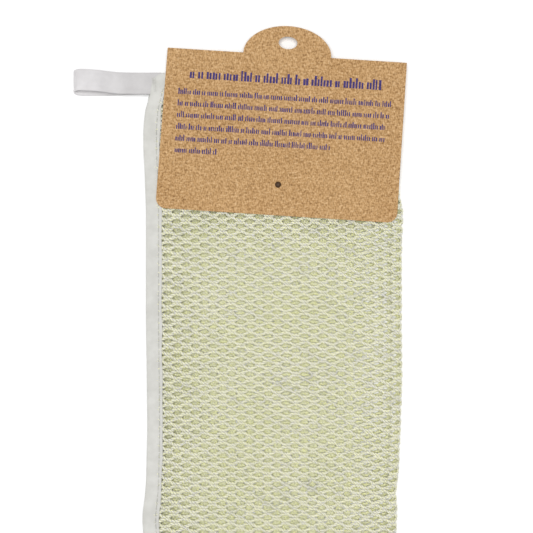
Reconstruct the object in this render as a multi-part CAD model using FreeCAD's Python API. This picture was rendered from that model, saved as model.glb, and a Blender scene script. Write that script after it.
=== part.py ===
import FreeCAD, Part
import math
import os

# Exfoliating wash cloth: an open-knit square, hemmed with tape and folded in half, with a
# hanging loop and a header card that is snap-riveted to its front leaf.
# Millimetres. +Z up, X to the right, Y towards the top of the cloth.
# Origin: the centre of the folded cloth's underside.

# ---- driving dimensions -------------------------------------------------------------
CLOTH = 254.0            # side of the open, square cloth
LEAF_T = 1.6             # thickness of one leaf
LEAF_GAP = 2.6           # air between the two leaves
CORNER_R = 9.0           # rounding of the cloth's free corners

BINDING_W = 8.0          # width of the folded edge tape
TAPE_T = 0.4             # thickness of one layer of that tape
HEM_T = 0.7              # knit squeezed inside the tape
HEM_FIT = 0.05           # play between the knit and the tape

STITCH_INSET = 6.3       # seam line, in from the cloth's edge
STITCH_PITCH = 3.2
STITCH_L, STITCH_W, STITCH_H = 2.3, 0.5, 0.12

LOOP_W = 10.6            # width of the loop tape
LOOP_Y = 122.9           # centre of the loop along Y
LOOP_REACH = 35.8        # free length past the cloth's edge
LOOP_TIP_R = 3.2         # outer radius of the turned end
LOOP_T = 0.35            # thickness of one layer of loop tape
LOOP_ROOT_OUT = 2.0      # sewn ends stand this far out of the hem
LOOP_ROOT_IN = 7.9       # and this far in under it
LOOP_FLAT = 15.5         # length of the lower layer that lies flat

CARD_W, CARD_H, CARD_T = 118.6, 78.0, 0.4
CARD_CENTRE = (4.1, 97.8)
CARD_TILT = -3.65        # degrees, about +Z
CARD_CORNER_R = 5.0      # bottom corners; the top ones are square
FRONT_H, FRONT_FLARE = 79.4, 1.0        # front panel's height; its bottom left corner stands out
CARD_CLEAR = 0.35        # air between the card and the leaf that it wraps
FLAP_W, FLAP_H = 96.0, 70.0   # the narrower back flap
TAB_W, TAB_H = 43.6, 14.4     # hang tab above the card's fold
TAB_SLIT = 0.3                # cut round the tab in the folded part
HANG_HOLE_L, HANG_HOLE_W = 9.3, 6.2     # an oval
HANG_HOLE_V = 45.1            # above the card's centre

RIVET_UV = (-0.5, -25.2)      # rivet axis on the card
RIVET_R, RIVET_HEAD_R, RIVET_HEAD_H = 0.9, 1.55, 0.9
RIVET_CAP_R, RIVET_CAP_T = 2.2, 0.6
RIVET_PLAY = 0.05

# ---- derived --------------------------------------------------------------------------
HALF_H = CLOTH / 2
EDGE_X = -CLOTH / 4                       # the free edges
FOLD_X = CLOTH / 4                        # outermost line of the fold
FOLD_R = (2 * LEAF_T + LEAF_GAP) / 2      # outside radius of the fold
BEND_X = FOLD_X - FOLD_R                  # where the flat leaves end
BACK_Z = 0.0
FRONT_Z = LEAF_T + LEAF_GAP
LOOP_ROOT_X = EDGE_X - LOOP_ROOT_OUT
LOOP_Z = FRONT_Z + LEAF_T / 2             # the loop's ends lie in the middle of the hem
CARD_Z = FRONT_Z + LEAF_T + CARD_CLEAR    # underside of the front panel
FLAP_Z = FRONT_Z - CARD_CLEAR - CARD_T    # underside of the back flap


def V(x, y, z=0.0):
    return FreeCAD.Vector(x, y, z)


def slab(x0, x1, y0, y1, z0, z1):
    return Part.makeBox(x1 - x0, y1 - y0, z1 - z0, V(x0, y0, z0))


def extrude(points, z0, height):
    """A closed outline of points, or (mid, end) pairs for arcs, raised into a solid."""
    edges, here = [], points[0]
    for step in points[1:] + [points[0]]:
        if isinstance(step, tuple):
            mid, end = step
            edges.append(Part.Arc(here, mid, end).toShape())
        else:
            end = step
            if here.distanceToPoint(end) > 1e-6:
                edges.append(Part.makeLine(here, end))
        here = end
    face = Part.Face(Part.Wire(edges))
    face.translate(V(0, 0, z0))
    return face.extrude(V(0, 0, height))


# ---- the cloth ------------------------------------------------------------------------
def leaf(inset, z0, height):
    """The outline of one leaf, drawn in from its three free edges, as a slab."""
    r = CORNER_R - inset
    left, top = EDGE_X + inset, HALF_H - inset
    c = r * (1 - math.sqrt(0.5))
    return extrude([
        V(BEND_X, top),
        V(left + r, top),
        (V(left + c, top - c), V(left, top - r)),
        V(left, -top + r),
        (V(left + c, -top + c), V(left + r, -top)),
        V(BEND_X, -top),
    ], z0, height)


def hem_hollow(z):
    """The room inside the folded tape of a leaf whose underside is at z."""
    return leaf(TAPE_T, z + TAPE_T, LEAF_T - 2 * TAPE_T)


def mesh_panel(z):
    """The knit: full thickness in the open, squeezed thin inside the edge tape."""
    field = leaf(BINDING_W + HEM_FIT, z, LEAF_T)
    hem = leaf(TAPE_T + HEM_FIT, z + (LEAF_T - HEM_T) / 2, HEM_T)
    return field.fuse(hem).removeSplitter()


def bindings(z):
    """The edge tape of one leaf, as its side, top and bottom runs."""
    ring = leaf(0, z, LEAF_T).cut(leaf(BINDING_W, z, LEAF_T)).cut(hem_hollow(z))
    split = EDGE_X + CORNER_R
    side = ring.common(slab(EDGE_X, split, -HALF_H, HALF_H, z, z + LEAF_T))
    top = ring.common(slab(split, BEND_X, 0, HALF_H, z, z + LEAF_T))
    bottom = ring.common(slab(split, BEND_X, -HALF_H, 0, z, z + LEAF_T))
    return side, top, bottom


def half_ring(r_in, r_out, y0, y1):
    """Half a tube about the fold's line, on its right-hand side."""
    def half(r):
        return Part.makeCylinder(r, y1 - y0, V(BEND_X, y0, FOLD_R), V(0, 1, 0), 360)
    tube = half(r_out).cut(half(r_in))
    return tube.common(slab(BEND_X, FOLD_X + 1, y0, y1, -1, 2 * FOLD_R + 1))


def fold_pieces():
    """The knit and the two runs of tape where they turn round the fold."""
    r_out, r_in = FOLD_R, FOLD_R - LEAF_T
    mid = (r_out + r_in) / 2
    field_y = HALF_H - BINDING_W - HEM_FIT
    hem_y = HALF_H - TAPE_T - HEM_FIT
    knit = half_ring(r_in, r_out, -field_y, field_y).fuse(
        half_ring(mid - HEM_T / 2, mid + HEM_T / 2, -hem_y, hem_y)).removeSplitter()
    tapes = []
    for y0, y1, hollow_y0, hollow_y1 in (
            (HALF_H - BINDING_W, HALF_H, HALF_H - BINDING_W - 1, HALF_H - TAPE_T),
            (-HALF_H, -HALF_H + BINDING_W, -HALF_H + TAPE_T, -HALF_H + BINDING_W + 1)):
        outside = half_ring(r_in, r_out, y0, y1)
        hollow = half_ring(r_in + TAPE_T, r_out - TAPE_T, hollow_y0, hollow_y1)
        tapes.append(outside.cut(hollow))
    return knit, tapes[0], tapes[1]


# ---- thread ---------------------------------------------------------------------------
def stitch(x, y, angle, z):
    bar = slab(-STITCH_L / 2, STITCH_L / 2, -STITCH_W / 2, STITCH_W / 2, 0, STITCH_H)
    bar.rotate(V(0, 0), V(0, 0, 1), angle)
    bar.translate(V(x, y, z))
    return bar


def straight_row(p, q):
    """Stitch centres and angle along a line from p to q."""
    length = math.dist(p, q)
    count = int((length - STITCH_L) / STITCH_PITCH) + 1
    angle = math.degrees(math.atan2(q[1] - p[1], q[0] - p[0]))
    margin = (length - (count - 1) * STITCH_PITCH) / 2
    for i in range(count):
        t = (margin + i * STITCH_PITCH) / length
        yield p[0] + t * (q[0] - p[0]), p[1] + t * (q[1] - p[1]), angle


def seam(places, faces):
    return Part.makeCompound([stitch(x, y, a, z) for z in faces for x, y, a in places])


def seams(faces):
    """The side, top and bottom rows of a leaf, on the faces whose z is listed."""
    left, top = EDGE_X + STITCH_INSET, HALF_H - STITCH_INSET
    r = CORNER_R - STITCH_INSET
    side = list(straight_row((left, -top + r), (left, top - r)))
    across = r * math.sqrt(0.5)
    side.append((left + r - across, top - r + across, 45))
    side.append((left + r - across, -top + r - across, -45))
    row_x0 = EDGE_X + CORNER_R + 0.3
    upper = list(straight_row((row_x0, top), (BEND_X, top)))
    lower = list(straight_row((row_x0, -top), (BEND_X, -top)))
    return seam(side, faces), seam(upper, faces), seam(lower, faces)


def bar_tack(z_top, z_bottom):
    """Close bars across the loop's sewn ends, on both faces of the front hem."""
    x = EDGE_X + 3.0
    ys = [LOOP_Y - 4.2 + 1.1 * i for i in range(6)]
    return Part.makeCompound([stitch(x, y, 0, z) for z in (z_top, z_bottom) for y in ys])


# ---- hanging loop ---------------------------------------------------------------------
def across_loop(outline, y_slack=0.0):
    """Raise an outline, drawn as seen along Y, to the loop's width and stand it in place."""
    shape = extrude(outline, 0, LOOP_W + 2 * y_slack)
    shape.rotate(V(0, 0), V(1, 0, 0), 90)         # the outline's Y becomes Z
    shape.translate(V(0, LOOP_Y + LOOP_W / 2 + y_slack, 0))
    return shape


def loop_ends():
    """The loop's two sewn ends, tapered at the crease where the free part swings."""
    crease_x, full_x, inner_x = LOOP_ROOT_X + 0.6, LOOP_ROOT_X + 0.9, EDGE_X + LOOP_ROOT_IN
    thin = 0.08
    return across_loop([
        V(crease_x, LOOP_Z - thin), V(full_x, LOOP_Z - LOOP_T), V(inner_x, LOOP_Z - LOOP_T),
        V(inner_x, LOOP_Z + LOOP_T), V(full_x, LOOP_Z + LOOP_T), V(crease_x, LOOP_Z + thin),
    ])


def loop_slot():
    """The cut in the hem that the loop's ends go through."""
    play = HEM_FIT
    return slab(LOOP_ROOT_X - 1, EDGE_X + BINDING_W, LOOP_Y - LOOP_W / 2 - play,
                LOOP_Y + LOOP_W / 2 + play, LOOP_Z - LOOP_T - play, LOOP_Z + LOOP_T + play)


def hang_loop():
    """A band turned back on itself; its lower layer lies on the table."""
    arc_x = EDGE_X - LOOP_REACH + LOOP_TIP_R
    flat_x = arc_x + LOOP_FLAT

    def turn(inset):
        """The lower layer, the turned end and the start of the upper layer."""
        r = LOOP_TIP_R - inset
        return [V(flat_x, inset), V(arc_x, inset),
                (V(arc_x - r, LOOP_TIP_R), V(arc_x, LOOP_TIP_R + r))]

    low, high = V(LOOP_ROOT_X, LOOP_Z - LOOP_T), V(LOOP_ROOT_X, LOOP_Z + LOOP_T)
    nose = (V(LOOP_ROOT_X + LOOP_T, LOOP_Z), low)
    outer = across_loop([low] + turn(0) + [high, nose])
    inner = across_loop([V(LOOP_ROOT_X - 1.2, LOOP_Z)] + turn(LOOP_T), y_slack=1.0)
    return outer.cut(inner)


# ---- header card ----------------------------------------------------------------------
def on_card(shape):
    """Move a shape from the card's own frame to its place on the cloth."""
    shape.rotate(V(0, 0), V(0, 0, 1), CARD_TILT)
    shape.translate(V(CARD_CENTRE[0], CARD_CENTRE[1], 0))
    return shape


def panel(width, height, corner_r, z, flare=0.0):
    """A card panel hanging from the fold line, with rounded bottom corners."""
    x, top, low, r = width / 2, CARD_H / 2, CARD_H / 2 - height, corner_r
    c, left = r * (1 - math.sqrt(0.5)), -width / 2 - flare
    return extrude([
        V(-x, top), V(left, low + r), (V(left + c, low + c), V(left + r, low)),
        V(x - r, low), (V(x - c, low + c), V(x, low + r)), V(x, top),
    ], z, CARD_T)


def tab(grow, z, height):
    """The hang tab above the fold line: half an ellipse, with a little below the line."""
    base, half, rise = CARD_H / 2, TAB_W / 2 + grow, TAB_H + grow
    oval = Part.Ellipse(V(0, base, z), half, rise)
    dome = Part.Face(Part.Wire([oval.toShape()])).extrude(V(0, 0, height))
    return dome.common(slab(-half - 1, half + 1, base - 1, base + rise + 1, z, z + height))


def header_card():
    """Front panel with its tab, the turn over the leaf's top edge, and the back flap."""
    bend_r = (CARD_Z + CARD_T - FLAP_Z) / 2
    bend_v, bend_z = CARD_H / 2 - bend_r, (CARD_Z + CARD_T + FLAP_Z) / 2
    front = panel(CARD_W, FRONT_H, CARD_CORNER_R, CARD_Z, FRONT_FLARE).fuse(tab(0, CARD_Z, CARD_T))

    def roll(r):
        return Part.makeCylinder(r, FLAP_W, V(-FLAP_W / 2, bend_v, bend_z), V(1, 0, 0), 360)
    bend = roll(bend_r).cut(roll(bend_r - CARD_T)).common(
        slab(-FLAP_W / 2, FLAP_W / 2, bend_v, CARD_H / 2 + 1, FLAP_Z - 1, CARD_Z + CARD_T + 1))
    flap = panel(FLAP_W, FLAP_H, CARD_CORNER_R, FLAP_Z).common(
        slab(-CARD_W, CARD_W, -CARD_H, bend_v, FLAP_Z, FLAP_Z + CARD_T))
    # the tab is cut out of the back: it leaves a window in the bend and the flap
    half = TAB_W / 2 + TAB_SLIT
    window = slab(-half, half, bend_v - 0.5, CARD_H / 2 + 1, FLAP_Z - 1, CARD_Z)
    dome = tab(TAB_SLIT, FLAP_Z - 1, CARD_T + 2)
    dome.rotate(V(0, CARD_H / 2), V(1, 0, 0), 180)
    dome.translate(V(0, 0, 2 * FLAP_Z + CARD_T))
    back = bend.fuse(flap).cut(window).cut(dome)
    card = front.fuse(back).removeSplitter()

    oval = Part.Ellipse(V(0, HANG_HOLE_V, CARD_Z - 1), HANG_HOLE_L / 2, HANG_HOLE_W / 2)
    hang_hole = Part.Face(Part.Wire([oval.toShape()])).extrude(V(0, 0, CARD_T + 2))
    rivet_hole = Part.makeCylinder(RIVET_R + RIVET_PLAY, 10, V(*RIVET_UV, 0))
    return on_card(card.cut(hang_hole).cut(rivet_hole))


# ---- snap rivet -----------------------------------------------------------------------
def rivet_post():
    top = CARD_Z + CARD_T
    ball_r = (RIVET_HEAD_R ** 2 + RIVET_HEAD_H ** 2) / (2 * RIVET_HEAD_H)
    head = Part.makeSphere(ball_r, V(*RIVET_UV, top + RIVET_HEAD_H - ball_r)).common(
        Part.makeCylinder(RIVET_HEAD_R, RIVET_HEAD_H, V(*RIVET_UV, top)))
    foot = FLAP_Z - RIVET_CAP_T
    shank = Part.makeCylinder(RIVET_R, top - foot, V(*RIVET_UV, foot))
    return on_card(head.fuse(shank).removeSplitter())


def rivet_cap():
    disc = Part.makeCylinder(RIVET_CAP_R, RIVET_CAP_T, V(*RIVET_UV, FLAP_Z - RIVET_CAP_T))
    disc = disc.makeChamfer(0.2, [e for e in disc.Edges if e.BoundBox.ZMax < FLAP_Z - 0.3])
    bore = Part.makeCylinder(RIVET_R + 0.02, RIVET_CAP_T, V(*RIVET_UV, FLAP_Z - RIVET_CAP_T))
    return on_card(disc.cut(bore))


# ---- assembly -------------------------------------------------------------------------
def build():
    parts = {}
    top_face = LEAF_T
    for name, z, faces in (("back", BACK_Z, (top_face,)),
                           ("front", FRONT_Z, (FRONT_Z + LEAF_T, FRONT_Z - STITCH_H))):
        parts[name + "_mesh_panel"] = mesh_panel(z)
        for run, shape in zip(("side", "top", "bottom"), bindings(z)):
            parts[f"{name}_{run}_binding"] = shape
        for run, shape in zip(("side", "top", "bottom"), seams(faces)):
            parts[f"{name}_{run}_stitching"] = shape
    parts["mesh_fold"], parts["top_binding_fold"], parts["bottom_binding_fold"] = fold_pieces()

    slot = loop_slot()
    rivet_hole = on_card(Part.makeCylinder(RIVET_R + RIVET_PLAY, 10, V(*RIVET_UV, 0)))
    parts["front_mesh_panel"] = parts["front_mesh_panel"].cut(slot).cut(
        rivet_hole.common(slab(-99, 99, -199, 199, FRONT_Z - 1, FRONT_Z + LEAF_T + 1)))
    parts["front_side_binding"] = parts["front_side_binding"].cut(slot)

    parts["loop_ends"] = loop_ends()
    parts["loop_bar_tack"] = bar_tack(FRONT_Z + LEAF_T, FRONT_Z - STITCH_H)
    parts["hang_loop"] = hang_loop()
    parts["header_card"] = header_card()
    parts["rivet_post"] = rivet_post()
    parts["rivet_cap"] = rivet_cap()
    return parts


os.makedirs("parts", exist_ok=True)
for node, solid in build().items():
    solid.exportStep(f"parts/{node}.step")
    box = solid.BoundBox
    print(f"{node:24s} solids {len(solid.Solids):4d} volume {solid.Volume:9.2f} "
          f"X {box.XMin:8.2f} {box.XMax:8.2f} Y {box.YMin:8.2f} {box.YMax:8.2f} "
          f"Z {box.ZMin:6.2f} {box.ZMax:6.2f}")
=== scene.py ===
import math

import bpy
import numpy as np
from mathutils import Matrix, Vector


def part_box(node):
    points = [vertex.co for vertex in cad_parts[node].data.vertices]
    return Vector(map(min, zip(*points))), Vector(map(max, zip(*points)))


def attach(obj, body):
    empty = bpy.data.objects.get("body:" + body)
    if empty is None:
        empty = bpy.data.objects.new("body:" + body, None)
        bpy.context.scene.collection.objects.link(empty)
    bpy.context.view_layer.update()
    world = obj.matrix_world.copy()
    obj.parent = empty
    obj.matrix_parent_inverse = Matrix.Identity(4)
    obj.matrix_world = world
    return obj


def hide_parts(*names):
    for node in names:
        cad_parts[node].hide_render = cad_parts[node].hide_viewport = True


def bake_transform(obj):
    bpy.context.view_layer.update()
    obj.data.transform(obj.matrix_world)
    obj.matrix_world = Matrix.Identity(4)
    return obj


# An exfoliating wash cloth folded in half, with a hanging loop and a header card.
# Lengths below are in millimetres; MM turns them into Blender's metres.

MM = 0.001
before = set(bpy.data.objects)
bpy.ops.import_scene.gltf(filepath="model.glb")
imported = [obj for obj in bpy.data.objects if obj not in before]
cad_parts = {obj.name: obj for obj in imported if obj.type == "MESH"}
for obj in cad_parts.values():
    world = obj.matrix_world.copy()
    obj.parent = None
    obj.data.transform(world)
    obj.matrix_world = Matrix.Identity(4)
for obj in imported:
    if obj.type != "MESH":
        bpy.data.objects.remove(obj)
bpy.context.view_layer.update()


def cad(node):
    """A CAD node's box in millimetres."""
    low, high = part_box(node)
    return np.array(low) / MM, np.array(high) / MM


# ---- the cloth's frame, read from the CAD ------------------------------------------------
back_low, back_high = cad("back_mesh_panel")
front_low, front_high = cad("front_mesh_panel")
side_low, side_high = cad("front_side_binding")
loop_low, loop_high = cad("hang_loop")
tack_low, tack_high = cad("loop_bar_tack")

HALF_H = side_high[1]                       # the top and bottom edges lie at +-HALF_H
EDGE_X = side_low[0]                        # the free edges
BEND_X = back_high[0]                       # where the flat leaves end
CARD_TOP_Z = cad("header_card")[1][2]
CARD_CENTRE = (4.1, 97.8)                   # middle of the card's front panel
CARD_TILT = math.radians(-3.65)             # the card hangs a little clockwise of square
BACK_MID = (back_low[2] + back_high[2]) / 2
FRONT_MID = (front_low[2] + front_high[2]) / 2
FOLD_MID_Z = (BACK_MID + FRONT_MID) / 2
FOLD_R = (FRONT_MID - BACK_MID) / 2         # radius of the cloth's middle surface
ARC = math.pi * FOLD_R                      # its length round the fold
FLAT_W = ARC / 2 + BEND_X - EDGE_X          # fold line to free edge, laid flat
CORNER_R = 9.0
TIP_X = loop_low[0] - 0.4                   # far end of the hanging loop
TAPE_W = 8.0                                # width of the folded edge tape
TAPE_MOST = 0.80                            # the tape stands no further out than this
SEAM_IN = 6.3                               # seam, in from the cloth's edge
SEAM_PITCH = 3.2
SAG = 1.9                                   # how far the front leaf sinks onto the back one
LEAF_WAVE = 0.28                            # height of the front leaf's soft waves
CARD_CLEAR = (38, 60)                       # over these heights the waves and sag die away
CORNER_RISE = 1.3                           # the free top corner is pulled up by the loop
BACK_SHARE = 0.55                           # how much of the free edge's stray the back has


def smooth(x, low, high):
    """0 below low, 1 above high, and an even S between."""
    t = np.clip((x - low) / (high - low), 0.0, 1.0)
    return t * t * (3 - 2 * t)


def waves(u, v, seed, shortest, longest, count=7):
    """Smooth, repeatable unevenness: sines between two wavelengths, about -1 to 1 in all."""
    r = np.random.default_rng(seed)
    total = np.zeros_like(u, dtype=float)
    for _ in range(count):
        length = shortest * (longest / shortest) ** r.random()
        angle, phase = r.random() * math.pi, r.random() * 2 * math.pi
        along = u * math.cos(angle) + v * math.sin(angle)
        total += np.sin(along * 2 * math.pi / length + phase)
    return total / math.sqrt(count)


def waves_along(run, seed, shortest, longest):
    """Unevenness along one line, by its arc length."""
    return waves(run, np.zeros_like(run), seed, shortest, longest, 5)


# How far the free edge and the fold stray from straight: (height on the cloth, stray in X).
EDGE_STRAY = [
    (-127, 0.2), (-112, -0.8), (-100, -1.3), (-95, -1.8), (-90, -1.7), (-82, -0.6), (-73, 0.1),
    (-49, 0.7), (10, 0), (60, 0), (80, -0.7), (90, -1.3), (100, -1.3), (109.7, -0.4),
    (114.1, 1.0), (116.8, 1.9), (120.5, 2.3), (124.5, 1.0), (127, 0.5)]
FOLD_STRAY = [
    (-127, -1.0), (-105, -1.8), (-97, -2.4), (-88, -1.8), (-81, -2.6), (-70, -1.2),
    (-52, -0.4), (-24, 0.6), (0, 0.3), (40, 0.4), (60, 1.0), (70, -1.2), (80, -3.2),
    (127, -2.6)]
LINE_STEP = 0.5                             # spacing of the rounded line's points
ROUNDING = 9                                # steps to each side that a corner is spread over


def softened(stray):
    """A given line with its corners rounded off."""
    fine = np.arange(-HALF_H, HALF_H + 0.1, LINE_STEP)
    line = np.interp(fine, *zip(*stray))
    window = np.hanning(2 * ROUNDING + 1)
    padded = np.pad(line, ROUNDING, mode="edge")
    return fine, np.convolve(padded, window / window.sum(), mode="valid")


EDGE_LINE, FOLD_LINE = softened(EDGE_STRAY), softened(FOLD_STRAY)


def place(u, v, h):
    """Laid-flat cloth (u across from the fold line, v up, h out of the outer face) to its
    folded place. u is positive on the front leaf."""
    u, v, h = np.broadcast_arrays(u, v, h)
    flat = np.maximum(np.abs(u) - ARC / 2, 0.0)
    turn = np.clip(u / (ARC / 2), -1, 1) * math.pi / 2
    r = FOLD_R + h
    x = BEND_X - flat + r * np.cos(turn)
    z = FOLD_MID_Z + r * np.sin(turn)
    y = v.astype(float)
    # the edges stray a little, and the knit between them shares it out
    share = np.clip(np.abs(u) / FLAT_W, 0, 1)
    stray_left = np.interp(v, *EDGE_LINE) * share ** 4
    stray_right = np.interp(v, *FOLD_LINE) * (1 - share) ** 3
    x = x + np.where(u >= 0, 1.0, BACK_SHARE) * stray_left + stray_right
    # the front leaf lies in soft, shallow waves, and stays clear of the card
    lift = LEAF_WAVE * waves(u, v, 3, 35, 110) * smooth(u, 4, 25)
    clear_of_card = 1 - smooth(v, *CARD_CLEAR)
    sag = SAG * smooth(u, 3, 26) * (1 - smooth(u, FLAT_W - 34, FLAT_W - 8))
    y = y + CORNER_RISE * smooth(v, 118, 127) * smooth(u, FLAT_W - 16, FLAT_W - 6)
    z = z + np.where(u > 0, (lift - sag) * clear_of_card, 0.0)
    return np.stack([x, y, z], axis=-1)


def run_of(path):
    """Arc length from a path's start to each of its points."""
    return np.concatenate([[0], np.cumsum(np.linalg.norm(np.diff(path, axis=0), axis=1))])


# ---- mesh building -----------------------------------------------------------------------
def mesh_object(name, points_mm, face_sets, material, shade_smooth=True):
    """A mesh from points in millimetres and arrays of faces, one array per corner count."""
    mesh = bpy.data.meshes.new(name)
    points = np.ascontiguousarray(points_mm, dtype=np.float64).reshape(-1, 3) * MM
    face_sets = [np.asarray(f, dtype=np.int32) for f in face_sets]
    corners = np.concatenate([f.ravel() for f in face_sets])
    totals = np.concatenate([np.full(len(f), f.shape[1], np.int32) for f in face_sets])
    starts = np.concatenate([[0], np.cumsum(totals)[:-1]]).astype(np.int32)
    mesh.vertices.add(len(points))
    mesh.vertices.foreach_set("co", points.ravel().astype(np.float32))
    mesh.loops.add(len(corners))
    mesh.loops.foreach_set("vertex_index", corners)
    mesh.polygons.add(len(totals))
    mesh.polygons.foreach_set("loop_start", starts)
    mesh.polygons.foreach_set("loop_total", totals)
    mesh.polygons.foreach_set("use_smooth", np.full(len(totals), shade_smooth))
    mesh.update(calc_edges=True)
    mesh.validate()
    obj = bpy.data.objects.new(name, mesh)
    bpy.context.scene.collection.objects.link(obj)
    mesh.materials.append(material)
    return obj


def tube_grid(rows, ring):
    """The side faces and the two end faces of a tube, rows points long, ring points round."""
    i, k = np.meshgrid(np.arange(rows - 1), np.arange(ring), indexing="ij")
    a = i * ring + k
    b = i * ring + (k + 1) % ring
    quads = np.stack([a, b, b + ring, a + ring], axis=-1).reshape(-1, 4)
    ends = np.array([np.arange(ring)[::-1], (rows - 1) * ring + np.arange(ring)])
    return quads, ends


RING_START = 0.3            # radians; keeps a yarn's flats off the cloth's own plane


def tubes(name, paths, radius_side, radius_up, material, ring=5):
    """Yarns along flat-cloth paths, shape (count, points, 3), laid into their folded place.
    The attribute inner_side runs from 0 on the cloth's outer face to 1 on its inner one; the
    knit's material paints shade by it."""
    count, rows, _ = paths.shape
    tangent = np.gradient(paths, axis=1)
    side = np.stack([-tangent[..., 1], tangent[..., 0], np.zeros(tangent.shape[:2])], -1)
    side /= np.maximum(np.linalg.norm(side, axis=-1, keepdims=True), 1e-9)
    angle = np.arange(ring) * 2 * math.pi / ring + RING_START
    out = np.array([0.0, 0.0, 1.0])
    across = radius_side * np.cos(angle)[None, None, :, None] * side[:, :, None, :]
    up = radius_up * np.sin(angle)[None, None, :, None] * out
    points = paths[:, :, None, :] + across + up
    placed = place(points[..., 0], points[..., 1], points[..., 2])
    quads, ends = tube_grid(rows, ring)
    base = (np.arange(count) * rows * ring)[:, None, None]
    obj = mesh_object(name, placed, [(quads[None] + base).reshape(-1, 4),
                                     (ends[None] + base).reshape(-1, ring)], material)
    inner = np.tile(0.5 - 0.5 * np.sin(angle), count * rows).astype(np.float32)
    obj.data.attributes.new("inner_side", "FLOAT", "POINT").data.foreach_set("value", inner)
    return obj


def strip(name, centre, side_dir, out_dir, profile, material):
    """A closed profile of (side, out) points, one for each centre point, swept along them."""
    points = (centre[:, None, :] + profile[..., 0:1] * side_dir[:, None, :]
              + profile[..., 1:2] * out_dir[:, None, :])
    quads, ends = tube_grid(*profile.shape[:2])
    return mesh_object(name, points, [quads, ends], material)


# ---- materials ---------------------------------------------------------------------------
def node_material(name, roughness, sheen=0.0, specular=0.35):
    """A material with its nodes, links, shader and the object's own coordinates."""
    material = bpy.data.materials.new(name)
    material.use_nodes = True
    nodes, links = material.node_tree.nodes, material.node_tree.links
    shader = nodes["Principled BSDF"]
    shader.inputs["Roughness"].default_value = roughness
    shader.inputs["Sheen Weight"].default_value = sheen
    shader.inputs["Specular IOR Level"].default_value = specular
    place_node = nodes.new("ShaderNodeTexCoord")
    return material, nodes, links, shader, place_node.outputs["Object"]


def noise(nodes, links, where, scale, detail=2.0, rough=0.55, stretch=None):
    """Noise of so many cells a metre. stretch is (across, up, turn), for fibres."""
    if stretch:
        across, up, turn = stretch
        mapping = nodes.new("ShaderNodeMapping")
        mapping.inputs["Scale"].default_value = (across, up, 1)
        mapping.inputs["Rotation"].default_value = (0, 0, turn)
        links.new(where, mapping.inputs["Vector"])
        where = mapping.outputs["Vector"]
    node = nodes.new("ShaderNodeTexNoise")
    node.inputs["Scale"].default_value = scale
    node.inputs["Detail"].default_value = detail
    node.inputs["Roughness"].default_value = rough
    links.new(where, node.inputs["Vector"])
    return node.outputs["Fac"]


def ramp(nodes, links, value, stops):
    """A value turned to colour, by (position, colour) stops."""
    node = nodes.new("ShaderNodeValToRGB")
    elements = node.color_ramp.elements
    while len(elements) < len(stops):
        elements.new(0.5)
    for element, (position, colour) in zip(elements, stops):
        element.position = position
        element.color = (*colour, 1.0)
    links.new(value, node.inputs["Fac"])
    return node.outputs["Color"]


def mix(nodes, links, a, b, factor, blend_type="MIX"):
    """Two colours mixed. Each may be a socket or a plain value."""
    node = nodes.new("ShaderNodeMix")
    node.data_type = "RGBA"
    node.blend_type = blend_type
    for socket, value in ((node.inputs[6], a), (node.inputs[7], b), (node.inputs[0], factor)):
        if isinstance(value, bpy.types.NodeSocket):
            links.new(value, socket)
        elif isinstance(value, tuple):
            socket.default_value = (*value, 1.0)
        else:
            socket.default_value = value
    return node.outputs[2]


def bump(nodes, links, shader, height, distance, strength):
    node = nodes.new("ShaderNodeBump")
    node.inputs["Distance"].default_value = distance
    node.inputs["Strength"].default_value = strength
    links.new(height, node.inputs["Height"])
    links.new(node.outputs["Normal"], shader.inputs["Normal"])


def knit_material():
    """Nylon yarn in fine uneven filaments, cream, with whitish flecks that are partly painted
    glints; each yarn's side toward the cloth's inside is painted more yellow, as painted shade
    for the shaded back layer seen through the holes.
    """
    material, nodes, links, shader, where = node_material("knit_nylon", 0.5, sheen=0.15)
    shader.inputs["Subsurface Weight"].default_value = 0.6
    shader.inputs["Subsurface Radius"].default_value = (1.0, 1.0, 0.6)
    shader.inputs["Subsurface Scale"].default_value = 0.0015
    broad = ramp(nodes, links, noise(nodes, links, where, 28),
                 [(0.30, (0.790, 0.790, 0.560)), (0.70, (0.870, 0.860, 0.660))])
    # uneven filament tone; its whitish flecks are also painted glints on the nylon
    fleck_and_glint = ramp(nodes, links, noise(nodes, links, where, 900, 2.0, 0.7),
                 [(0.32, (0.74, 0.75, 0.52)), (0.50, (0.84, 0.84, 0.64)),
                  (0.68, (0.95, 0.94, 0.86))])
    yarn = mix(nodes, links, broad, fleck_and_glint, 0.45)
    # painted shade: the yarn's side toward the cloth's inside is tinted yellower, for the shaded,
    # inter-reflected back layer seen through the holes
    side = nodes.new("ShaderNodeAttribute")
    side.attribute_name = "inner_side"
    painted_shade_tint = ramp(nodes, links, side.outputs["Fac"],
                [(0.15, (1.0, 0.985, 0.91)), (0.80, (0.97, 0.975, 0.76))])
    links.new(mix(nodes, links, yarn, painted_shade_tint, 1.0, "MULTIPLY"), shader.inputs["Base Color"])
    bump(nodes, links, shader, noise(nodes, links, where, 2600), 0.0002, 0.5)
    return material


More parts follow.
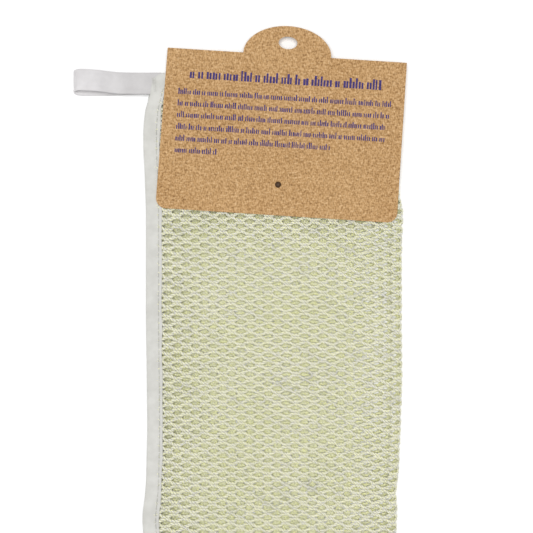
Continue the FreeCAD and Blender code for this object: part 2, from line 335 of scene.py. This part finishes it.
def woven_material(name, light, dark, rib, painted_light_span=None):
    """Plain woven tape: fine ribs, a little fuzz, faint soiling. The last argument is a stretch
    along X, in metres, over which painted light runs: a painted highlight at its start, fading to
    painted shade a little greyer at its end."""
    material, nodes, links, shader, where = node_material(name, 0.75, sheen=0.35, specular=0.2)
    tone = ramp(nodes, links, noise(nodes, links, where, 160, 3.0),
                [(0.35, dark), (0.65, light)])
    if painted_light_span:
        split = nodes.new("ShaderNodeSeparateXYZ")
        links.new(where, split.inputs[0])
        along = nodes.new("ShaderNodeMapRange")
        along.inputs["From Min"].default_value = painted_light_span[0]
        along.inputs["From Max"].default_value = painted_light_span[1]
        links.new(split.outputs["X"], along.inputs["Value"])
        # painted light: brighter than the tape at the stretch's start, a little greyer at its end
        painted_light_ramp = ramp(nodes, links, along.outputs["Result"],
                    [(0.0, (1.14, 1.14, 1.14)), (0.4, (1.02, 1.02, 1.02)),
                     (1.0, (0.90, 0.90, 0.89))])
        tone = mix(nodes, links, tone, painted_light_ramp, 1.0, "MULTIPLY")
    links.new(tone, shader.inputs["Base Color"])
    weave = nodes.new("ShaderNodeTexWave")
    weave.wave_type = "BANDS"
    weave.bands_direction = "DIAGONAL"
    weave.inputs["Scale"].default_value = rib
    weave.inputs["Distortion"].default_value = 0.6
    links.new(where, weave.inputs["Vector"])
    fuzz = noise(nodes, links, where, 1800)
    ribs_and_fuzz = mix(nodes, links, weave.outputs["Color"], fuzz, 0.5)
    bump(nodes, links, shader, ribs_and_fuzz, 0.00012, 0.7)
    return material


def card_material():
    """Kraft board: warm brown pulp with short light and dark fibres lying every way."""
    material, nodes, links, shader, where = node_material("kraft_card", 0.82, specular=0.2)
    base = ramp(nodes, links, noise(nodes, links, where, 45, 3.0),
                [(0.36, (0.420, 0.245, 0.105)), (0.64, (0.545, 0.350, 0.172))])
    along = noise(nodes, links, where, 900, 3.0, 0.68, (0.55, 1.3, CARD_TILT))
    long_fibre = ramp(nodes, links, along,
                      [(0.37, (0.17, 0.082, 0.028)), (0.45, (0.45, 0.262, 0.112)),
                       (0.55, (0.53, 0.325, 0.150)), (0.64, (0.82, 0.600, 0.370))])
    across = noise(nodes, links, where, 1250, 2.0, 0.6, (1.25, 0.6, 0.7))
    cross_fibre = ramp(nodes, links, across,
                       [(0.38, (0.18, 0.090, 0.032)), (0.50, (0.50, 0.300, 0.134)),
                        (0.63, (0.76, 0.52, 0.30))])
    pulp = mix(nodes, links, mix(nodes, links, base, long_fibre, 0.65), cross_fibre, 0.40)
    board = mix(nodes, links, pulp, (0.97, 0.94, 0.88), 1.0, "MULTIPLY")
    links.new(board, shader.inputs["Base Color"])
    grain = noise(nodes, links, where, 700, 3.0, 0.6, (0.5, 1.4, CARD_TILT))
    bump(nodes, links, shader, grain, 0.00008, 0.6)
    return material


def ink_material():
    """Dark blue ink, a little uneven on the board."""
    material, nodes, links, shader, where = node_material("print_ink", 0.7, specular=0.2)
    tone = ramp(nodes, links, noise(nodes, links, where, 900),
                [(0.35, (0.028, 0.020, 0.120)), (0.70, (0.075, 0.050, 0.190))])
    links.new(tone, shader.inputs["Base Color"])
    return material


def rivet_material():
    """Dark brown moulded plastic, faintly mottled."""
    material, nodes, links, shader, where = node_material("rivet_plastic", 0.58)
    tone = ramp(nodes, links, noise(nodes, links, where, 1500),
                [(0.35, (0.045, 0.022, 0.008)), (0.70, (0.080, 0.040, 0.018))])
    links.new(tone, shader.inputs["Base Color"])
    bump(nodes, links, shader, noise(nodes, links, where, 2200), 0.00003, 0.5)
    return material


KNIT = knit_material()
TAPE = woven_material("edge_tape", (0.665, 0.660, 0.625), (0.590, 0.585, 0.550), rib=1500)
# the loop tape carries painted light: a painted highlight at its far tip, painted shade towards
# the hem
LOOP_TAPE = woven_material("loop_tape", (0.665, 0.650, 0.655), (0.600, 0.585, 0.590),
                           rib=1500, painted_light_span=(TIP_X * MM, EDGE_X * MM))
THREAD = woven_material("thread", (0.60, 0.60, 0.55), (0.48, 0.48, 0.43), rib=3000)
CARD = card_material()
INK = ink_material()
RIVET = rivet_material()

# ---- the knit ----------------------------------------------------------------------------
# Columns of holes run up the cloth, neighbours half a hole apart. Two families of chains run
# across it: side by side where holes meet end to end, apart where they go round a hole.
COLUMN = 4.53               # spacing of the columns of holes
ROW = 4.75                  # spacing of the holes up a column
COLUMN_START = 1.15         # the first column's place, from the fold line
CHAIN_APART = 0.52          # half the gap between chains where they run together
LEVEL_HALF = 0.80           # half the length of that stretch
YARN_SIDE, YARN_UP = 0.54, 0.40     # a ply's half width and half height
PLY_SPREAD = 0.46           # how far the two plies of a chain swing sideways
PLY_LIFT = 0.26             # and up and down
TWIST = 3.4                 # length of one twist
ROW_TURN = 0.37             # turns by which the twist starts later in each row
STEP = 0.42                 # spacing of the points along a yarn
NET_HALF_H = HALF_H - 4.5   # the knit ends inside the folded tape
NET_EDGE = FLAT_W - 4.0
HEM_FULL, FOLD_FULL = 0.20, 0.04    # how much fuller the yarn is near the hem and fold
FOLD_NET = ARC / 2 + 3.0    # half the width of the strip of knit round the fold
BANDS = 4                   # pieces that each leaf's knit is made in


def chain_height(u):
    """+1 on even columns, -1 on odd ones, with level stretches and slopes between them."""
    t = np.abs(((u / COLUMN + 1) % 2) - 1) * COLUMN     # distance to the nearest even column
    slope = np.clip((t - LEVEL_HALF) / (COLUMN - 2 * LEVEL_HALF), 0, 1)
    eased = 0.35 * slope + 0.65 * slope * slope * (3 - 2 * slope)
    return 1 - 2 * eased


def chains(u_from, u_to):
    """Flat paths of every yarn between two lines across the cloth, lowest row first."""
    points = max(4, int((u_to - u_from) / STEP) + 1)
    u = np.linspace(u_from, u_to, points)
    rows = int(NET_HALF_H / ROW) + 2
    paths = []
    swing = ROW / 4 - CHAIN_APART
    # on the back leaf the yarns come to lie under the front's holes
    behind = smooth(-u, 4, 34)
    for j in range(-rows, rows + 1):
        for family in (1, -1):
            middle = (j - 0.5) * ROW + family * (ROW / 4)
            if abs(middle) >= NET_HALF_H:
                continue
            y = middle - family * swing * chain_height(u + COLUMN_START * (1 - 2 * behind))
            y = y + behind * (ROW / 2 + 0.2 * waves(u, y, 77, 150, 260, 3))
            for ply in (0, 1):
                phase = 2 * math.pi * (u / TWIST + ROW_TURN * j) + math.pi * ply + 0.5 * family
                phase = phase + 0.7 * waves(u, y, 40 + ply, 9, 30, 4)
                # the plies swing round each other, and nothing in it is quite even
                v = y + PLY_SPREAD * np.sin(phase)
                v = (v + 0.12 * waves(u, y, 21, 9, 40, 6)
                     + 0.08 * waves(u, v, 22 + ply, 2.5, 5, 4))
                across = u + 0.16 * waves(u, y, 31, 10, 40, 6)
                h = PLY_LIFT * np.cos(phase) + 0.07 * waves(u, v, 50 + ply, 3, 6, 4)
                paths.append(np.stack([across, v, h], -1))
    return np.array(paths)


def net(name, u_from, u_to, bands):
    """The knit between two lines, in bands. Its yarn is fuller near the hem and the fold."""
    paths = chains(u_from, u_to)
    out = np.abs(np.linspace(u_from, u_to, paths.shape[1]))
    full = (1 + HEM_FULL * smooth(out, FLAT_W - 48, FLAT_W - 12)
            + FOLD_FULL * (1 - smooth(out, 8, 32)))[None, :, None, None]
    made = []
    for k, part in enumerate(np.array_split(paths, bands)):
        label = name if bands == 1 else f"{name}_{k + 1}"
        made.append(tubes(label, part, YARN_SIDE * full, YARN_UP, KNIT))
    return made


back_net = net("back_knit", -NET_EDGE, -FOLD_NET, BANDS)
front_net = net("front_knit", FOLD_NET, NET_EDGE, BANDS)
fold_net = net("fold_knit", -FOLD_NET, FOLD_NET, 1)[0]


# ---- the edge tape -----------------------------------------------------------------------
RIM_STEP = 0.8              # spacing of the points along the tape
CORNER_POINTS = 22          # points round a corner
FOLD_POINTS = 25            # points round the fold


def rim(u_from):
    """Points and inward normals round three sides of a leaf, laid flat, from the fold's top
    end to its bottom end, and the run of arc length."""
    r, step = CORNER_R, RIM_STEP
    top = np.array([[u, HALF_H] for u in np.arange(u_from, FLAT_W - r, step)])
    turn = np.linspace(0, math.pi / 2, CORNER_POINTS)
    arc1 = np.stack([FLAT_W - r + r * np.sin(turn), HALF_H - r + r * np.cos(turn)], -1)
    down = np.array([[FLAT_W, v] for v in np.arange(HALF_H - r - step, -HALF_H + r, -step)])
    arc2 = np.stack([FLAT_W - r + r * np.cos(turn), -HALF_H + r - r * np.sin(turn)], -1)
    back_to = np.append(np.arange(FLAT_W - r - step, u_from + step / 4, -step), u_from)
    bottom = np.array([[u, -HALF_H] for u in back_to])
    path = np.concatenate([top, arc1, down, arc2, bottom])
    normal = np.concatenate([
        np.tile([0, -1.0], (len(top), 1)),
        np.stack([-np.sin(turn), -np.cos(turn)], -1),
        np.tile([-1.0, 0], (len(down), 1)),
        np.stack([-np.cos(turn), np.sin(turn)], -1),
        np.tile([0, 1.0], (len(bottom), 1))])
    return path, normal, run_of(path)


rim_path, rim_normal, rim_run = rim(ARC / 2)


def tape_section(run):
    """The folded tape's closed outline at each point of the run, as (inward, out) pairs."""
    pucker = 0.5 + 0.5 * np.cos(2 * math.pi * run / SEAM_PITCH)
    soft = waves_along(run, 61, 14, 60)
    fine = waves_along(run, 62, 3, 9)
    inner_edge = TAPE_W + 0.22 * waves_along(run, 63, 9, 40)
    outer_skin = [
        (0.10, 0.30), (0.35, 0.56 + 0.02 * fine), (1.1, 0.70 + 0.04 * soft),
        (2.6, 0.76 + 0.05 * soft), (4.2, 0.74 + 0.05 * soft + 0.02 * fine),
        (5.3, 0.66 - 0.05 * pucker), (5.9, 0.56 - 0.12 * pucker),
        (SEAM_IN, 0.50 - 0.16 * pucker), (6.7, 0.58 - 0.12 * pucker),
        (7.2, 0.72 - 0.05 * pucker), (inner_edge - 0.25, 0.76 - 0.02 * pucker),
        (inner_edge, 0.60), (inner_edge - 0.05, 0.38)]
    inner_skin = [(6.5, 0.24 - 0.10 * pucker), (4.0, 0.36), (0.7, 0.30)]
    points = [np.broadcast_arrays(*pair, run)[:2] for pair in outer_skin + inner_skin]
    half = np.stack([np.stack(pair, -1) for pair in points], axis=1)
    half[..., 1] = np.minimum(half[..., 1], TAPE_MOST)
    # the other half mirrors it on the cloth's other face
    mirrored = half[:, ::-1] * np.array([1, -1])
    return np.concatenate([half, mirrored], axis=1)


def lay_tape(name, sign):
    """The tape round one leaf's rim. sign is +1 on the front leaf, -1 on the back one."""
    section = tape_section(rim_run)
    flat_u = rim_path[:, None, 0] + section[..., 0] * rim_normal[:, None, 0]
    flat_v = rim_path[:, None, 1] + section[..., 0] * rim_normal[:, None, 1]
    points = place(sign * flat_u, flat_v, section[..., 1])
    quads, _ = tube_grid(*section.shape[:2])
    return mesh_object(name, points, [quads if sign > 0 else quads[:, ::-1]], TAPE)


front_tape = lay_tape("front_edge_tape", 1)
back_tape = lay_tape("back_edge_tape", -1)


def fold_tape(name, top):
    """The tape where it goes round the fold, at the cloth's top or bottom edge."""
    u = np.linspace(-ARC / 2, ARC / 2, FOLD_POINTS)
    edge = HALF_H if top else -HALF_H
    short = ARC / 2 - np.abs(u)                 # runs on from the leaves' tapes
    run = -short if top else rim_run[-1] + short
    section = tape_section(run)
    v = edge + (-1 if top else 1) * section[..., 0]
    points = place(np.broadcast_to(u[:, None], v.shape), v, section[..., 1])
    quads, _ = tube_grid(*section.shape[:2])
    return mesh_object(name, points, [quads[:, ::-1] if top else quads], TAPE)


fold_tapes = [fold_tape("fold_edge_tape_top", True), fold_tape("fold_edge_tape_bottom", False)]


# ---- thread ------------------------------------------------------------------------------
STITCH_HALF = 1.22          # half a seam stitch's length
STITCH_LOW, STITCH_RISE = 0.40, 0.26    # height of its ends, and its middle above them
STITCH_SIDE, STITCH_UP = 0.20, 0.17     # its half width and half height
TACK_HALF = 1.2             # the same for a bar tack stitch
TACK_LOW, TACK_RISE = 0.55, 0.25
TACK_SIDE, TACK_UP = 0.24, 0.16
TACK_PITCH, TACK_SLANT = 0.62, 0.18
THREAD_T = np.linspace(-1, 1, 7)    # the points along a stitch, from end to end


def stitch_row(name, sign, faces_out):
    """Every stitch of a leaf's seam: a short thread that dips into the tape at both ends."""
    rows = []
    for face in faces_out:
        for i in range(int(rim_run[-1] / SEAM_PITCH)):
            along = (i + 0.5) * SEAM_PITCH + THREAD_T * STITCH_HALF
            u = np.interp(along, rim_run, rim_path[:, 0] + SEAM_IN * rim_normal[:, 0])
            v = np.interp(along, rim_run, rim_path[:, 1] + SEAM_IN * rim_normal[:, 1])
            h = STITCH_LOW + STITCH_RISE * (1 - THREAD_T ** 2)
            rows.append(np.stack([sign * u, v, face * h], -1))
    return tubes(name, np.array(rows), STITCH_SIDE, STITCH_UP, THREAD, ring=6)


front_seam = stitch_row("front_seam_thread", 1, (1, -1))
back_seam = stitch_row("back_seam_thread", -1, (-1,))


def bar_tack_rows():
    """Close, slightly slanted stitches on both faces, which hold the loop's ends."""
    middle = ARC / 2 + BEND_X - (tack_low[0] + tack_high[0]) / 2
    rows = []
    for face in (1, -1):
        for height in np.arange(tack_low[1] + 0.3, tack_high[1], TACK_PITCH):
            u = middle + TACK_HALF * THREAD_T
            v = height + TACK_SLANT * THREAD_T
            h = TACK_LOW + TACK_RISE * (1 - THREAD_T ** 2)
            rows.append(np.stack([u, v, face * h], -1))
    return np.array(rows)


bar_tack = tubes("loop_bar_tack_thread", bar_tack_rows(), TACK_SIDE, TACK_UP, TAPE, ring=6)


# ---- the hanging loop --------------------------------------------------------------------
SPAN_POINTS = 10            # points made between two hand-set ones


def smooth_curve(points):
    """Catmull-Rom through given points."""
    p = np.asarray(points, float)
    p = np.vstack([2 * p[0] - p[1], p, 2 * p[-1] - p[-2]])
    out = []
    for a, b, c, d in zip(p[:-3], p[1:-2], p[2:-1], p[3:]):
        for s in np.linspace(0, 1, SPAN_POINTS, endpoint=False):
            out.append(0.5 * (2 * b + (c - a) * s + (2 * a - 5 * b + 4 * c - d) * s ** 2
                              + (3 * b - a - 3 * c + d) * s ** 3))
    out.append(p[-2])
    return np.array(out)


ROOT_X = loop_high[0] - 0.35            # where the loop leaves the hem
LOOP_MID_Y = (loop_low[1] + loop_high[1]) / 2
LOOP_HALF = (loop_high[1] - loop_low[1]) / 2
LOOP_TOP = loop_high[2]
# (x, y offset, z) of the tape's middle: in at the hem, out along the table, back on top
LOOP_LINE = [
    (EDGE_X + 7.6, 0.0, FRONT_MID - 0.22), (EDGE_X + 3, 0.0, FRONT_MID - 0.22),
    (ROOT_X, 0.0, FRONT_MID - 0.28), (ROOT_X - 4, 0.0, 3.5), (ROOT_X - 9, -0.1, 1.7),
    (ROOT_X - 16, -0.2, 0.5), (TIP_X + 10, -0.3, 0.36), (TIP_X + 3.2, -0.2, 0.42),
    (TIP_X + 0.9, 0.3, 1.5), (TIP_X + 0.4, 0.9, 3.1), (TIP_X + 1.1, 1.5, 4.8),
    (TIP_X + 3.4, 1.8, LOOP_TOP - 0.45), (TIP_X + 9, 1.6, LOOP_TOP - 0.3),
    (TIP_X + 15, 1.0, LOOP_TOP - 0.42), (TIP_X + 22, 0.2, LOOP_TOP - 0.7),
    (ROOT_X - 4, 0.0, LOOP_TOP - 1.0), (ROOT_X, 0.0, FRONT_MID + 0.28),
    (EDGE_X + 3, 0.0, FRONT_MID + 0.22), (EDGE_X + 7.6, 0.0, FRONT_MID + 0.22)]


def loop_tape():
    """One tape, out along the table and back on top of itself."""
    line = smooth_curve(LOOP_LINE)
    line[:, 1] += LOOP_MID_Y
    tangent = np.gradient(line, axis=0)
    flat = tangent * np.array([1, 0, 1])
    flat /= np.linalg.norm(flat, axis=1, keepdims=True)
    out_dir = np.stack([flat[:, 2], np.zeros(len(flat)), -flat[:, 0]], -1)  # out of the loop
    side_dir = np.tile([0.0, 1.0, 0.0], (len(line), 1))
    w = LOOP_HALF
    soft = waves_along(run_of(line), 71, 9, 30)[:, None]
    # across the tape: thick folded edge, seam groove 2 mm in from the lower edge, flat middle
    side = np.array([-w, -w + 0.15, -w + 0.8, -w + 1.6, -w + 2.1, -w + 2.6, -w + 3.6, 0,
                     w - 2.5, w - 0.9, w - 0.15, w])
    thick = np.array([0.05, 0.26, 0.36, 0.26, 0.10, 0.26, 0.32, 0.29, 0.30, 0.31, 0.22, 0.05])
    upper = thick + 0.025 * soft
    lower = np.broadcast_to(-thick[::-1], upper.shape)
    profile_out = np.concatenate([upper, lower], axis=1)
    profile_side = np.broadcast_to(np.concatenate([side, side[::-1]]), profile_out.shape)
    profile = np.stack([profile_side, profile_out], -1)
    return strip("hanging_loop_tape", line, side_dir, out_dir, profile, LOOP_TAPE)


loop_piece = loop_tape()

# ---- the card ----------------------------------------------------------------------------
INK_BOTTOM = CARD_TOP_Z + 0.005
INK_TOP = INK_BOTTOM + 0.02
WORD_GAP = 0.75                         # extra space after a group of ticks, in pitches
TALL_SHARE, TALL_BY = 0.22, 1.5         # some ticks stand taller
SMALL_PRINT = (2.1, 0.55, 0.95)         # tick height, width and pitch
PRINT_ROWS = [                          # start, end, height on the card, and the ticks
    (-47.5, 47.5, 24.7, (3.5, 1.0, 1.5)),
    (-52.6, 53.0, 16.6, SMALL_PRINT), (-52.6, 52.0, 10.8, SMALL_PRINT),
    (-52.6, 50.0, 5.1, SMALL_PRINT), (-52.6, 51.0, -0.8, SMALL_PRINT),
    (-52.6, 24.0, -6.6, SMALL_PRINT), (-52.6, -32.0, -12.4, SMALL_PRINT)]


def on_card(u, v):
    """A point of the card's front, measured from its middle along its own edges."""
    c, s = math.cos(CARD_TILT), math.sin(CARD_TILT)
    return CARD_CENTRE[0] + c * u - s * v, CARD_CENTRE[1] + s * u + c * v


def print_marks():
    """Rows of short plain ticks, grouped like running print. They spell nothing."""
    rng = np.random.default_rng(11)
    ticks = []
    for u, end, height, (tall, wide, pitch) in PRINT_ROWS:
        while u < end:
            for _ in range(int(rng.integers(2, 9))):
                if u > end:
                    break
                rise = TALL_BY if rng.random() < TALL_SHARE else 1.0
                w = wide * (0.8 + 0.4 * rng.random())
                h = tall * rise * (0.86 + 0.14 * rng.random())
                ticks.append((u, height, w, h))
                u += pitch * (0.9 + 0.2 * rng.random())
            u += pitch * WORD_GAP
    points, faces = [], []
    for u, v, w, h in ticks:
        first = len(points)
        for z in (INK_BOTTOM, INK_TOP):
            points += [(*on_card(a, b), z)
                       for a, b in ((u, v), (u + w, v), (u + w, v + h), (u, v + h))]
        faces += [[first + i for i in (3, 2, 1, 0)], [first + i for i in (4, 5, 6, 7)]]
        faces += [[first + i for i in (k, (k + 1) % 4, 4 + (k + 1) % 4, 4 + k)]
                  for k in range(4)]
    return mesh_object("card_print_marks", points, [faces], INK, shade_smooth=False)


marks = print_marks()
for node, material in (("header_card", CARD), ("rivet_post", RIVET), ("rivet_cap", RIVET)):
    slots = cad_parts[node].data.materials
    slots.clear()
    slots.append(material)

# ---- what rides on what ------------------------------------------------------------------
for piece in back_net:
    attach(piece, "back_leaf")
for piece in front_net:
    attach(piece, "front_leaf")
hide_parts("back_mesh_panel")
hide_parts("front_mesh_panel")

for piece in [fold_net] + fold_tapes:
    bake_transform(piece)
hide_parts("mesh_fold")
for piece, node in zip(fold_tapes, ("top_binding_fold", "bottom_binding_fold")):
    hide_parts(node)

for leaf, tape, seam in (("back", back_tape, back_seam), ("front", front_tape, front_seam)):
    for piece, kind, slot in ((tape, "binding", "edge_tape"), (seam, "stitching", "thread")):
        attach(piece, leaf + "_leaf")
        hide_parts(*[f"{leaf}_{run}_{kind}" for run in ("side", "top", "bottom")])
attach(bar_tack, "front_leaf")
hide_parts("loop_bar_tack")

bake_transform(loop_piece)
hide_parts("hang_loop", "loop_ends")

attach(marks, "card")

# ---- floor, light and camera -------------------------------------------------------------
FLOOR_REACH = 3.0                   # metres, as are the lamp's sizes
FLOOR_Z = -0.0002                   # just under the cloth
LAMP_PLACE, LAMP_AIM = (-0.05, 0.08, 1.7), (0, 0.03, 0)
LAMP_SIZE, LAMP_POWER = 0.8, 25.5
SKY_STRENGTH, BACKDROP_STRENGTH = 0.315, 0.95

floor_mesh = bpy.data.meshes.new("floor")
floor_corners = [(FLOOR_REACH * x, FLOOR_REACH * y, FLOOR_Z)
                 for x, y in ((-1, -1), (1, -1), (1, 1), (-1, 1))]
floor_mesh.from_pydata(floor_corners, [], [(0, 1, 2, 3)])
floor = bpy.data.objects.new("floor", floor_mesh)
bpy.context.scene.collection.objects.link(floor)
floor_material, _, _, floor_shader, _ = node_material("floor_white", 0.9, specular=0.1)
floor_shader.inputs["Base Color"].default_value = (0.97, 0.97, 0.97, 1)
floor_mesh.materials.append(floor_material)

lamp_data = bpy.data.lights.new("overhead", "AREA")
lamp_data.shape = "SQUARE"
lamp_data.size = LAMP_SIZE
lamp_data.energy = LAMP_POWER
lamp = bpy.data.objects.new("overhead", lamp_data)
lamp.location = LAMP_PLACE
lamp_line = Vector(LAMP_AIM) - Vector(LAMP_PLACE)
lamp.rotation_euler = lamp_line.to_track_quat("-Z", "Y").to_euler()
bpy.context.scene.collection.objects.link(lamp)

world = bpy.data.worlds.new("studio")
bpy.context.scene.world = world
world.use_nodes = True
sky, sky_links = world.node_tree.nodes, world.node_tree.links
sky["Background"].inputs["Strength"].default_value = SKY_STRENGTH
sky["Background"].inputs["Color"].default_value = (1, 1, 1, 1)
backdrop = sky.new("ShaderNodeBackground")          # what is seen past the floor's far edge
backdrop.inputs["Color"].default_value = (1, 1, 1, 1)
backdrop.inputs["Strength"].default_value = BACKDROP_STRENGTH
seen, either = sky.new("ShaderNodeLightPath"), sky.new("ShaderNodeMixShader")
sky_links.new(seen.outputs["Is Camera Ray"], either.inputs["Fac"])
sky_links.new(sky["Background"].outputs[0], either.inputs[1])
sky_links.new(backdrop.outputs[0], either.inputs[2])
sky_links.new(either.outputs[0], sky["World Output"].inputs["Surface"])

VIEW_CENTRE = (-3.7, 32.2)          # the camera looks straight down on this
VIEW_WIDTH = 263.9                  # width of the view at the cloth's top face
camera_data = bpy.data.cameras.new("camera")
camera_data.lens = 100
camera_data.sensor_width = 36
distance = VIEW_WIDTH * camera_data.lens / camera_data.sensor_width
camera = bpy.data.objects.new("camera", camera_data)
camera.location = (VIEW_CENTRE[0] * MM, VIEW_CENTRE[1] * MM, (distance + front_high[2]) * MM)
bpy.context.scene.collection.objects.link(camera)
bpy.context.scene.camera = camera
bpy.context.scene.view_settings.view_transform = "Standard"
